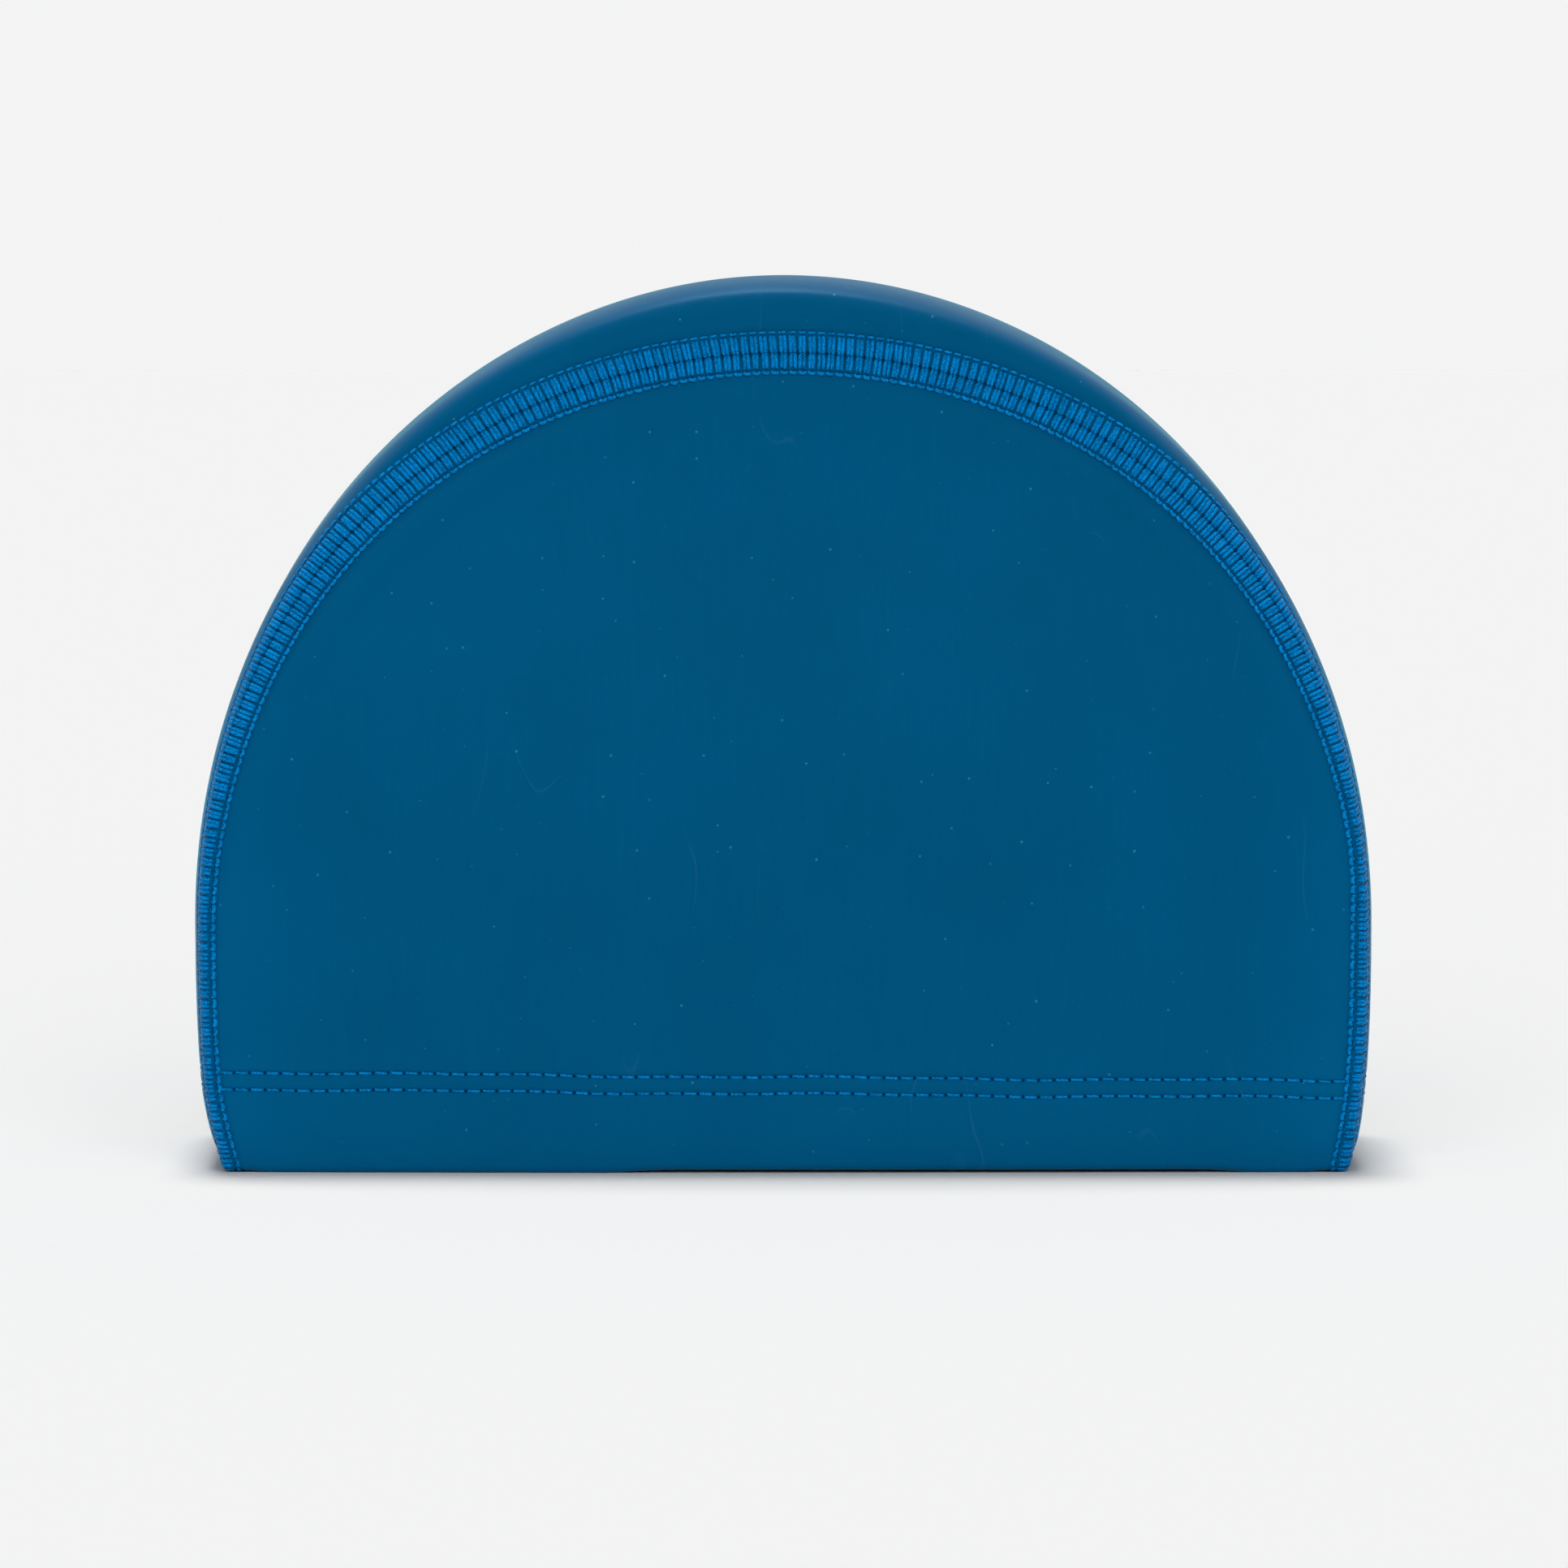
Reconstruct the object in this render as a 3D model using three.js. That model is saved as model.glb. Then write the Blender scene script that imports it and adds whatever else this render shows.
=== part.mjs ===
// Swim cap of coated stretch knit, standing on its hem.
// Three panels: two D shaped sides and one centre panel that runs from the front hem over the
// crown to the back hem. Two flat seams join them. Every hem is turned up inside.
// Millimetres. X runs front to back, Y across the cap, Z up from the plane that the hem rests on.

import * as THREE from "three";
import { mergeVertices } from "three/addons/utils/BufferGeometryUtils.js";

// Outline from the side
const capLength = 225; // front to back at the widest level
const capHeight = 169; // floor to the top of the centre panel
const widestLevel = 43; // height of the widest level
const hemTuck = 3; // how far the hem's ends lie in from the widest point
const hemTuckFall = 2.4; // power of the tuck: it is felt near the hem alone
const roundnessAlong = 1.98; // powers of the arch above the widest level
const roundnessUp = 2.08;

// Outline from the front
const mouthWidth = 64; // across the opening at the hem
const bellyWidth = 67; // across the side panels at their fullest level
const crownWidth = 34; // across the side panels at the level of the crown
const bellyLevel = 52;
const pillowRise = 1.6; // each side panel stands this far proud in its middle
const shoulderPower = 76; // how tightly the sides turn into the centre panel

// Cloth
const clothThickness = 1;
const hemHeight = 20; // how far the turned-up hem reaches
const hemThickness = 2; // outer cloth and the turned-up layer, sewn flat
const hemEdgeRun = 0.6; // the raw edge steps down over this height

// Seams
const seamDropAtCrown = 14.4; // from the top of the outline to the middle of the seam
const seamSetbackAtEnds = 2.3; // from the ends of the outline to the middle of the seam
const seamDropPower = 2.75; // how soon the seam leaves the outline on its way up
const seamWidth = 7.6;
const seamThickness = 0.8;
const seamFloorGap = 0.5; // the thread bundle ends this far above the hem's lower edge
const clearance = 0.3; // between neighbouring pieces

// Fineness of the surfaces
const hemRows = 4; // rows within the turned-up hem
const wallRows = 3; // rows from the hem's raw edge to the widest level
const archRows = 20; // rows from the widest level to the crown
const panelColumns = 24;
const centreColumns = 12;

// Colours
const clothColour = 0x01507b;
const threadColour = 0x056196;

// A thread bundle's section: places across the seam as shares of its half width, heights as
// shares of its thickness
const seamSection = [
  { across: -1, height: 0 },
  { across: -0.97, height: 0.55 },
  { across: -0.62, height: 1 },
  { across: 0, height: 0.86 },
  { across: 0.62, height: 1 },
  { across: 0.97, height: 0.55 },
  { across: 1, height: 0 },
];

const halfLength = capLength / 2;
const archHeight = capHeight - widestLevel;
const quarterTurn = Math.PI / 2;

// Fineness of the searches below
const halvings = 40; // steps of a search by halving
const nudge = 1e-4; // a small step along the surface, to find its slope
const samePlace = 1e-4; // points nearer than this are one

function ease(share) {
  const held = THREE.MathUtils.clamp(share, 0, 1);
  return held * held * (3 - 2 * held);
}

// Half the cap's width across the side panels at a height
function halfWidth(z) {
  const below = ease(z / bellyLevel);
  const above = ease((z - bellyLevel) / (capHeight - bellyLevel));
  const low = THREE.MathUtils.lerp(mouthWidth, bellyWidth, below);
  return THREE.MathUtils.lerp(low, crownWidth, above) / 2;
}

// Half the cap's length below the widest level
function halfLengthAt(z) {
  return halfLength - hemTuck * Math.max(0, 1 - z / widestLevel) ** hemTuckFall;
}

// The outline at a station: 0 at the hem, 1 at the widest level, 2 at the crown. fill is 1 on
// the outline and less inside it.
function outlinePoint(station, fill) {
  if (station <= 1) {
    const z = station * widestLevel;
    return { x: fill * halfLengthAt(z), z };
  }
  const angle = (station - 1) * quarterTurn;
  const along = Math.max(0, Math.cos(angle)) ** (2 / roundnessAlong);
  const up = Math.sin(angle) ** (2 / roundnessUp);
  return { x: fill * halfLength * along, z: widestLevel + fill * archHeight * up };
}

// How far out towards the outline a place on the side view lies, 0 to 1
function fillAt(x, z) {
  const rise = z - widestLevel;
  if (rise <= 0) {
    return Math.abs(x) / halfLengthAt(z);
  }
  let low = 0;
  let high = 2;
  for (let step = 0; step < halvings; step++) {
    const fill = (low + high) / 2;
    const along = (Math.abs(x) / (fill * halfLength)) ** roundnessAlong;
    const up = (rise / (fill * archHeight)) ** roundnessUp;
    if (along + up > 1) {
      low = fill;
    } else {
      high = fill;
    }
  }
  return (low + high) / 2;
}

// Distance of the cloth's outer face from the middle plane
function reach(fill, z) {
  const flatShare = Math.sqrt(Math.max(0, 1 - fill ** shoulderPower));
  return halfWidth(z) * flatShare + pillowRise * Math.max(0, 1 - fill * fill);
}

// A point of the outer face by station and turn: turn is 0 on the side panel's flat, a quarter
// turn on the outline and half a turn on the other side panel. end is 1 or -1 along X.
function shellPoint(station, turn, end) {
  const fill = Math.max(0, Math.sin(turn)) ** (2 / shoulderPower);
  const { x, z } = outlinePoint(station, fill);
  const side = turn < quarterTurn ? -1 : 1;
  return new THREE.Vector3(end * x, side * reach(fill, z), z);
}

// The turn at which the seam's middle lies, at a station
function seamTurn(station) {
  const rise = Math.sin(Math.max(0, station - 1) * quarterTurn) ** seamDropPower;
  const setback = THREE.MathUtils.lerp(seamSetbackAtEnds, seamDropAtCrown, rise);
  const { x, z } = outlinePoint(station, 1);
  const radius = Math.hypot(x, Math.max(0, z - widestLevel));
  return Math.asin((1 - setback / radius) ** (shoulderPower / 2));
}

// The turn at a signed distance across the seam, positive towards the centre panel
function turnAcross(station, distance) {
  const middle = seamTurn(station);
  const from = shellPoint(station, middle, 1);
  let near = middle;
  let far = distance > 0 ? quarterTurn : 0;
  for (let step = 0; step < halvings; step++) {
    const turn = (near + far) / 2;
    if (shellPoint(station, turn, 1).distanceTo(from) < Math.abs(distance)) {
      near = turn;
    } else {
      far = turn;
    }
  }
  return (near + far) / 2;
}

// A direction made level on the lowest row, so that the hem's lower edge stays flat
function levelledAtHem(normal, z) {
  if (z <= seamFloorGap) {
    normal.z = 0;
  }
  return normal.normalize();
}

// The outward direction at a point of the shell
function shellNormal(station, turn, end) {
  const lower = shellPoint(Math.max(0, station - nudge), turn, end);
  const up = shellPoint(Math.min(2, station + nudge), turn, end).sub(lower);
  if (station > 2 - nudge) {
    up.set(-end, 0, 0);
  }
  const before = shellPoint(station, turn - nudge, end);
  const round = shellPoint(station, turn + nudge, end).sub(before);
  return levelledAtHem(round.cross(up).multiplyScalar(end), lower.z);
}

// The outward direction on the near side panel at a place on the side view
function panelNormal(x, z) {
  const low = Math.max(0, z - nudge);
  const high = z + nudge;
  const alongX = reach(fillAt(x + nudge, z), z) - reach(fillAt(x - nudge, z), z);
  const alongZ = reach(fillAt(x, high), high) - reach(fillAt(x, low), low);
  const normal = new THREE.Vector3(-alongX / (2 * nudge), -1, -alongZ / (high - low));
  return levelledAtHem(normal, z);
}

// Wall thickness at a height: double within the turned-up hem
function thicknessAt(z) {
  const share = ease((z - (hemHeight - hemEdgeRun)) / hemEdgeRun);
  return THREE.MathUtils.lerp(hemThickness, clothThickness, share);
}

// The stations of the rows, from the hem to the crown
function rowStations() {
  const stations = [];
  const edgeFoot = hemHeight - hemEdgeRun;
  for (let row = 0; row <= hemRows; row++) {
    stations.push(((row / hemRows) * edgeFoot) / widestLevel);
  }
  for (let row = 0; row < wallRows; row++) {
    const z = THREE.MathUtils.lerp(hemHeight, widestLevel, row / wallRows);
    stations.push(z / widestLevel);
  }
  for (let row = 0; row <= archRows; row++) {
    stations.push(1 + row / archRows);
  }
  return stations;
}

// A closed solid between an outer and an inner grid of points, rims included
function solidBetween(outer, inner) {
  const positions = [];
  const face = (a, b, c) => {
    const shortest = Math.min(a.distanceTo(b), b.distanceTo(c), c.distanceTo(a));
    if (shortest > samePlace) {
      positions.push(...a.toArray(), ...b.toArray(), ...c.toArray());
    }
  };
  const quad = (a, b, c, d) => {
    face(a, b, c);
    face(a, c, d);
  };
  const rows = outer.length - 1;
  const columns = outer[0].length - 1;
  for (let row = 0; row < rows; row++) {
    for (let column = 0; column < columns; column++) {
      const next = column + 1;
      quad(outer[row][column], outer[row][next], outer[row + 1][next], outer[row + 1][column]);
      quad(inner[row][column], inner[row + 1][column], inner[row + 1][next], inner[row][next]);
    }
    quad(inner[row][0], outer[row][0], outer[row + 1][0], inner[row + 1][0]);
    quad(outer[row][columns], inner[row][columns], inner[row + 1][columns], outer[row + 1][columns]);
  }
  for (let column = 0; column < columns; column++) {
    const next = column + 1;
    quad(inner[0][column], inner[0][next], outer[0][next], outer[0][column]);
    quad(outer[rows][column], outer[rows][next], inner[rows][next], inner[rows][column]);
  }
  const soup = new THREE.BufferGeometry();
  soup.setAttribute("position", new THREE.Float32BufferAttribute(positions, 3));
  const geometry = mergeVertices(soup, samePlace);
  geometry.computeVertexNormals();
  return geometry;
}

// The same solid on the other side of the middle plane
function mirroredAcross(geometry) {
  const copy = geometry.clone();
  const position = copy.getAttribute("position");
  for (let i = 0; i < position.count; i++) {
    position.setY(i, -position.getY(i));
  }
  const index = copy.getIndex();
  for (let i = 0; i < index.count; i += 3) {
    const second = index.getX(i + 1);
    index.setX(i + 1, index.getX(i + 2));
    index.setX(i + 2, second);
  }
  copy.computeVertexNormals();
  return copy;
}

// Near side panel: level rows from seam to seam, closing to a point at the crown
function sidePanel() {
  const outer = [];
  const inner = [];
  for (const station of rowStations()) {
    const edge = shellPoint(station, turnAcross(station, -clearance / 2), 1);
    const outerRow = [];
    const innerRow = [];
    for (let column = 0; column <= panelColumns; column++) {
      const share = Math.sin(((2 * column) / panelColumns - 1) * quarterTurn);
      const x = share * Math.max(0, edge.x);
      const point = new THREE.Vector3(x, -reach(fillAt(x, edge.z), edge.z), edge.z);
      outerRow.push(point);
      const inward = panelNormal(x, edge.z).multiplyScalar(-thicknessAt(edge.z));
      innerRow.push(point.clone().add(inward));
    }
    outer.push(outerRow);
    inner.push(innerRow);
  }
  return solidBetween(outer, inner);
}

// Stations from one hem over the crown to the other, with the end that each lies on
function archStations(stations) {
  const rising = stations.map((station) => ({ station, end: -1 }));
  const falling = stations.slice(0, -1).reverse();
  return [...rising, ...falling.map((station) => ({ station, end: 1 }))];
}

// Centre panel: rows across the cap, from seam to seam
function centrePanel() {
  const outer = [];
  const inner = [];
  for (const { station, end } of archStations(rowStations())) {
    const first = turnAcross(station, clearance / 2);
    const last = Math.PI - first;
    const outerRow = [];
    const innerRow = [];
    for (let column = 0; column <= centreColumns; column++) {
      const turn = THREE.MathUtils.lerp(last, first, column / centreColumns);
      const point = shellPoint(station, turn, end);
      const inward = shellNormal(station, turn, end).multiplyScalar(-thicknessAt(point.z));
      outerRow.push(point);
      innerRow.push(point.clone().add(inward));
    }
    outer.push(outerRow);
    inner.push(innerRow);
  }
  return solidBetween(outer, inner);
}

// Thread bundle of the near seam, laid on the cloth
function seamBundle() {
  const stations = rowStations();
  stations[0] = seamFloorGap / widestLevel;
  const outer = [];
  const inner = [];
  for (const { station, end } of archStations(stations)) {
    const outerRow = [];
    const innerRow = [];
    for (const { across, height } of [...seamSection].reverse()) {
      const turn = turnAcross(station, (across * seamWidth) / 2);
      const point = shellPoint(station, turn, end);
      const outward = shellNormal(station, turn, end);
      const base = point.clone().addScaledVector(outward, clearance);
      outerRow.push(base.clone().addScaledVector(outward, seamThickness * height));
      innerRow.push(base);
    }
    outer.push(outerRow);
    inner.push(innerRow);
  }
  return solidBetween(outer, inner);
}

function piece(name, geometry, colour, roughness) {
  const material = new THREE.MeshStandardMaterial({ color: colour, roughness, metalness: 0 });
  const mesh = new THREE.Mesh(geometry, material);
  mesh.name = name;
  return mesh;
}

const cap = new THREE.Group();
const nearPanel = sidePanel();
const nearSeam = seamBundle();
cap.add(piece("side_panel_near", nearPanel, clothColour, 0.5));
cap.add(piece("side_panel_far", mirroredAcross(nearPanel), clothColour, 0.5));
cap.add(piece("centre_panel", centrePanel(), clothColour, 0.45));
cap.add(piece("seam_near", nearSeam, threadColour, 0.6));
cap.add(piece("seam_far", mirroredAcross(nearSeam), threadColour, 0.6));

export default cap;
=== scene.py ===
import math

import bpy
import numpy as np
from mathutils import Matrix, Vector, noise


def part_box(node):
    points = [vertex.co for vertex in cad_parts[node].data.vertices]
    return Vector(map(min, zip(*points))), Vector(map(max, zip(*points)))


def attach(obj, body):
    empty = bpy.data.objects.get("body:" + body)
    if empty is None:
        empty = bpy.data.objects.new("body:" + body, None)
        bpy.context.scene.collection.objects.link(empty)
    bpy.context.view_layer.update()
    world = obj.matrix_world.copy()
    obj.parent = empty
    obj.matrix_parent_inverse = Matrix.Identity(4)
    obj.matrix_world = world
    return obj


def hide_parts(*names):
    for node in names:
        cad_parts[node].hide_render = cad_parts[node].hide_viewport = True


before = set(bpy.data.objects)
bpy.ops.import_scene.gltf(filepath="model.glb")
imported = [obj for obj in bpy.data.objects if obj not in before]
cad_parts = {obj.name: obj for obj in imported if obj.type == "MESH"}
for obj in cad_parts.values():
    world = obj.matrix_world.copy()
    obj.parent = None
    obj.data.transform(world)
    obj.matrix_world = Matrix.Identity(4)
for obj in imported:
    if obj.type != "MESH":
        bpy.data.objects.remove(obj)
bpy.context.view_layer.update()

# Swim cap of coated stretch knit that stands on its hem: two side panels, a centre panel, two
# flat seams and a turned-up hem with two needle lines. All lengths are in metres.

bl_info = {
    "name": "Swim Cap",
    "version": (1, 0, 0),
    "blender": (4, 5, 0),
    "location": "3D View > Sidebar > Swim Cap",
    "description": "Models a coated knit swim cap that stands on its hem",
    "category": "Add Mesh",
}

BODY = "root"
MM = 0.001
QUARTER = math.pi / 2
HALVINGS = 36  # steps of a search by halving
NUDGE = 1e-5  # a small step along the surface, to find its slope
FOLD_ROWS = 7  # rows round the hem's fold
NEAR, FAR = -1, 1  # the two sides of the cap along Y
SAME_PLACE = 1e-6  # points nearer than this are one
PANEL_COLUMNS = 120
CENTRE_COLUMNS = 76
TURN_WEIGHT = 0.005  # length of section that one radian of turn counts as
ARCH_ROWS = 100  # rows of cloth from the widest level to the crown
HEM_STEP = 0.5 * MM  # between the hem's rows
WALL_STEP = 1.2 * MM  # between the rows above the hem
SECTION_STEPS = 801  # places along a section when columns are spread over it
BED_REACH = 0.64  # how far a seam's bed reaches to each side, as a share of the seam's width
BED_COLUMNS = 29
HEM_BED_REACH = 1.6  # the same for the hem, as a share of half the lines' distance
HEM_BED_COLUMNS = 17
BACKDROP_RADIUS = 9.0

# The frame's own sizes
CENTRE_LOW, CENTRE_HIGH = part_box("centre_panel")
CAP_LENGTH = CENTRE_HIGH[0] - CENTRE_LOW[0]
CAP_HEIGHT = CENTRE_HIGH[2]


def length_property(name, description, default):
    return bpy.props.FloatProperty(
        name=name, description=description, default=default, min=0.0, unit="LENGTH", precision=5
    )


def share_property(name, description, default):
    return bpy.props.FloatProperty(name=name, description=description, default=default)


def colour_property(name, description, default):
    return bpy.props.FloatVectorProperty(
        name=name, description=description, default=default, subtype="COLOR", size=3, min=0, max=1
    )


class SwimCapForm(bpy.types.PropertyGroup):
    """Outline and section of the standing cap"""

    length: length_property("Length", "Front to back at the widest level", CAP_LENGTH - 1.6 * MM)
    height: length_property("Height", "Hem to crown", CAP_HEIGHT)
    widest_level: length_property("Widest level", "Height of the longest level", 0.047)
    hem_tuck: length_property("Hem tuck", "How far the hem's ends lie in", 0.003)
    tuck_fall: share_property("Tuck fall", "Power of the hem's tuck", 2.95)
    round_along: share_property("Roundness along", "Power of the arch along the cap", 1.99)
    round_up: share_property("Roundness up", "Power of the arch upwards", 2.03)
    mouth_width: length_property("Mouth width", "Across the opening at the hem", 0.064)
    belly_width: length_property("Belly width", "Across the fullest level", 0.067)
    crown_width: length_property("Crown width", "Across the side panels at the crown", 0.034)
    belly_level: length_property("Belly level", "Height of the fullest level", 0.052)
    pillow_rise: length_property("Pillow rise", "Swell of a side panel's middle", 0.0016)
    top_power: share_property("Top power", "How little the centre panel arches over the top", 65)
    end_power: share_property("End power", "How little the centre panel arches at the ends", 120)
    power_reach: share_property("Power reach", "Share of the arch over which that changes", 0.635)
    shoulder: share_property("Shoulder", "How far the arch would reach past the side panels", 1.077)
    shoulder_turn: share_property("Shoulder turn", "Tightness of the turn at the side panels", 40)
    seam_drop: length_property("Seam drop", "From the top down to the seam's middle", 0.0143)
    seam_setback: length_property("Seam setback", "From the ends to the seam's middle", 0.00127)
    seam_power: share_property("Seam power", "How soon the seam leaves the outline", 2.34)
    seam_lean: length_property("Seam lean", "How much nearer the front slope's seam lies", 0.00036)


class SwimCapCloth(bpy.types.PropertyGroup):
    """Coated knit and its turned-up hem"""

    thickness: length_property("Thickness", "Thickness of the coated knit", 0.001)
    hem_height: length_property("Hem height", "Reach of the turned-up hem", 0.020)
    fold_radius: length_property("Fold radius", "Radius of the hem's fold", 0.0011)
    seam_gap: length_property("Seam gap", "Gap between two panels at the seam", 0.0003)
    puff: length_property("Puff", "Swell of the cloth beside a seam", 0.00045)
    puff_place: length_property("Puff place", "From the seam's middle to that swell", 0.0075)
    puff_width: length_property("Puff width", "Half width of that swell", 0.0032)
    crease: length_property("Crease", "How deep the cloth is drawn in at a seam", 0.00035)
    groove: length_property("Groove", "How deep a needle line draws the hem in", 0.00022)
    groove_width: length_property("Groove width", "Half width of that groove", 0.0006)
    sway: length_property("Sway", "Height of the broad soft waves", 0.0004)
    sway_length: length_property("Sway length", "Length of the broad soft waves", 0.07)
    hem_lift: length_property("Hem lift", "How far slack stretches of the hem stand clear", 0.0006)
    back_tuck: length_property("Back tuck", "How far the back end's foot curls in", 0.0017)
    front_tuck: length_property("Front tuck", "How far the front end's foot curls in", 0.0005)
    tuck_height: length_property("Tuck height", "Reach of that curl", 0.016)
    colour: colour_property("Colour", "Colour of the coating", (0.0002, 0.091, 0.226))


class SwimCapThread(bpy.types.PropertyGroup):
    """Seam and hem threads"""

    seam_width: length_property("Seam width", "Width of the flat seam", 0.0076)
    seam_pitch: length_property("Seam pitch", "Length of one seam stitch", 0.0018)
    floor_gap: length_property("Floor gap", "Room for the seam's threads under the fold", 0.0005)
    needle_high: length_property("Upper needle line", "Height of the hem's upper line", 0.0183)
    needle_low: length_property("Lower needle line", "Height of the hem's lower line", 0.0151)
    needle_drift: share_property("Needle drift", "Fall of both lines along the hem", 0.0075)
    hem_pitch: length_property("Hem pitch", "Length of one hem stitch", 0.0029)
    colour: colour_property("Colour", "Colour of the thread", (0.001, 0.21, 0.56))


class SwimCapStage(bpy.types.PropertyGroup):
    """Camera"""

    elevation: bpy.props.FloatProperty(
        name="Elevation", description="Camera above level", default=math.radians(4), subtype="ANGLE"
    )
    distance: length_property("Distance", "Camera to the cap's middle plane", 1.5)
    target_height: length_property("Target height", "Height that the camera looks at", 0.0714)
    frame_width: length_property("Frame width", "Width that the frame shows there", 0.3019)


# Surface of the cap


def ease(share):
    held = np.clip(share, 0, 1)
    return held * held * (3 - 2 * held)


class Shell:
    """The outer face of the standing cap, for arrays of places on it.

    A station is 0 at the hem, 1 at the widest level and 2 at the crown. A turn is 0 on the near
    side panel's flat, a quarter turn on the outline and half a turn on the far panel.
    """

    def __init__(self, form):
        self.form = form
        self.half_length = form.length / 2
        self.arch = form.height - form.widest_level

    def half_width(self, z):
        form = self.form
        low = form.mouth_width + (form.belly_width - form.mouth_width) * ease(z / form.belly_level)
        above = ease((z - form.belly_level) / (form.height - form.belly_level))
        return (low + (form.crown_width - low) * above) / 2

    def half_length_at(self, z):
        form = self.form
        rest = np.clip(1 - z / form.widest_level, 0, None)
        return self.half_length - form.hem_tuck * rest**form.tuck_fall

    def power(self, up):
        """Flatness of the centre panel, by the share of the arch that a place has risen"""
        form = self.form
        return form.end_power + (form.top_power - form.end_power) * ease(up / form.power_reach)

    def power_along(self, station):
        angle = np.clip(station - 1, 0, 1) * QUARTER
        return self.power(np.sin(angle) ** (2 / self.form.round_up))

    def outline(self, station, fill):
        form = self.form
        angle = np.clip(station - 1, 0, 1) * QUARTER
        low = station <= 1
        low_z = np.clip(station, 0, 1) * form.widest_level
        along = np.clip(np.cos(angle), 0, None) ** (2 / form.round_along)
        up = np.sin(angle) ** (2 / form.round_up)
        x = np.where(low, fill * self.half_length_at(low_z), fill * self.half_length * along)
        z = np.where(low, low_z, form.widest_level + fill * self.arch * up)
        return x, z

    def fill_at(self, x, z):
        form = self.form
        x = np.abs(x)
        rise = np.clip(z - form.widest_level, 0, None)
        low = np.zeros_like(x + z)
        high = low + 2
        for _ in range(HALVINGS):
            fill = (low + high) / 2
            along = (x / (fill * self.half_length)) ** form.round_along
            up = (rise / (fill * self.arch)) ** form.round_up
            outside = along + up > 1
            low = np.where(outside, fill, low)
            high = np.where(outside, high, fill)
        return np.where(z <= form.widest_level, x / self.half_length_at(z), (low + high) / 2)

    def reach(self, fill, z):
        form = self.form
        rise = np.clip(z - form.widest_level, 0, None)
        power = self.power(rise / (np.maximum(fill, NUDGE) * self.arch))
        share = form.shoulder * np.sqrt(np.clip(1 - fill**power, 0, None))
        flat = share / (1 + share**form.shoulder_turn) ** (1 / form.shoulder_turn)
        return self.half_width(z) * flat + form.pillow_rise * np.clip(1 - fill * fill, 0, None)

    def point(self, station, turn, end):
        fill = np.clip(np.sin(turn), 0, None) ** (2 / self.power_along(station))
        x, z = self.outline(station, fill)
        side = np.where(turn < QUARTER, -1.0, 1.0)
        return np.stack([end * x, side * self.reach(fill, z), z + 0 * x], axis=-1)

    def normal(self, station, turn, end):
        lower = self.point(np.clip(station - NUDGE, 0, 2), turn, end)
        up = self.point(np.clip(station + NUDGE, 0, 2), turn, end) - lower
        level = np.stack([-end * np.ones_like(turn), 0 * turn, 0 * turn], axis=-1)
        up = np.where((station > 2 - NUDGE)[..., None], level, up)
        before = self.point(station, turn - NUDGE, end)
        around = self.point(station, turn + NUDGE, end) - before
        return unit(np.cross(around, up) * np.asarray(end)[..., None])

    def seam_turn(self, station, end=1.0):
        form = self.form
        angle = np.clip(station - 1, 0, 1) * QUARTER
        rise = np.sin(angle) ** form.seam_power
        setback = form.seam_setback + (form.seam_drop - form.seam_setback) * rise
        setback = setback - end * form.seam_lean * np.sin(2 * angle)
        x, z = self.outline(station, np.ones_like(station))
        radius = np.hypot(x, np.clip(z - form.widest_level, 0, None))
        return np.arcsin((1 - setback / radius) ** (self.power_along(station) / 2))

    def turn_across(self, station, distance, end=1.0):
        """The turn at a distance across the seam, positive towards the centre panel"""
        station, distance, end = np.broadcast_arrays(station, distance, end)
        middle = self.seam_turn(station, end)
        start = self.point(station, middle, 1.0)
        near = middle.copy()
        far = np.where(distance > 0, QUARTER, 0.0)
        for _ in range(HALVINGS):
            turn = (near + far) / 2
            away = np.linalg.norm(self.point(station, turn, 1.0) - start, axis=-1)
            short = away < np.abs(distance)
            near = np.where(short, turn, near)
            far = np.where(short, far, turn)
        return (near + far) / 2

    def turns_between(self, station, first, columns):
        """Turns from first to the same place on the other side, closer where the section bends"""
        fine = first + (math.pi - 2 * first) * ease(np.linspace(0, 1, SECTION_STEPS)[None, :])
        steps = np.diff(self.point(station + 0 * fine, fine, 1.0), axis=1)
        length = np.linalg.norm(steps, axis=-1)
        heading = unit(steps)
        length[:, 1:] += TURN_WEIGHT * np.linalg.norm(np.diff(heading, axis=1), axis=-1)
        along = np.concatenate([0 * length[:, :1], np.cumsum(length, axis=1)], axis=1)
        share = np.linspace(0, 1, columns + 1)
        return np.stack([np.interp(share * run[-1], run, row) for run, row in zip(along, fine)])

    def panel_point(self, x, z):
        """Near side panel, by its place on the side view"""
        return np.stack([x, -self.reach(self.fill_at(x, z), z), z + 0 * x], axis=-1)

    def panel_normal(self, x, z):
        low = np.clip(z - NUDGE, 0, None)
        high = z + NUDGE
        wide = self.reach(self.fill_at(x + NUDGE, z), z) - self.reach(self.fill_at(x - NUDGE, z), z)
        tall = self.reach(self.fill_at(x, high), high) - self.reach(self.fill_at(x, low), low)
        steep = -tall / (high - low)
        return unit(np.stack([-wide / (2 * NUDGE), -np.ones_like(steep), steep], axis=-1))


def unit(vectors):
    return vectors / np.maximum(np.linalg.norm(vectors, axis=-1, keepdims=True), 1e-30)


def levelled(normals):
    flat = normals.copy()
    flat[..., 2] = 0
    return unit(flat)


def spread(low, high, step):
    """Even places from low to high, about a step apart, both ends included"""
    return np.linspace(low, high, max(2, int(round((high - low) / step)) + 1))


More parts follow.
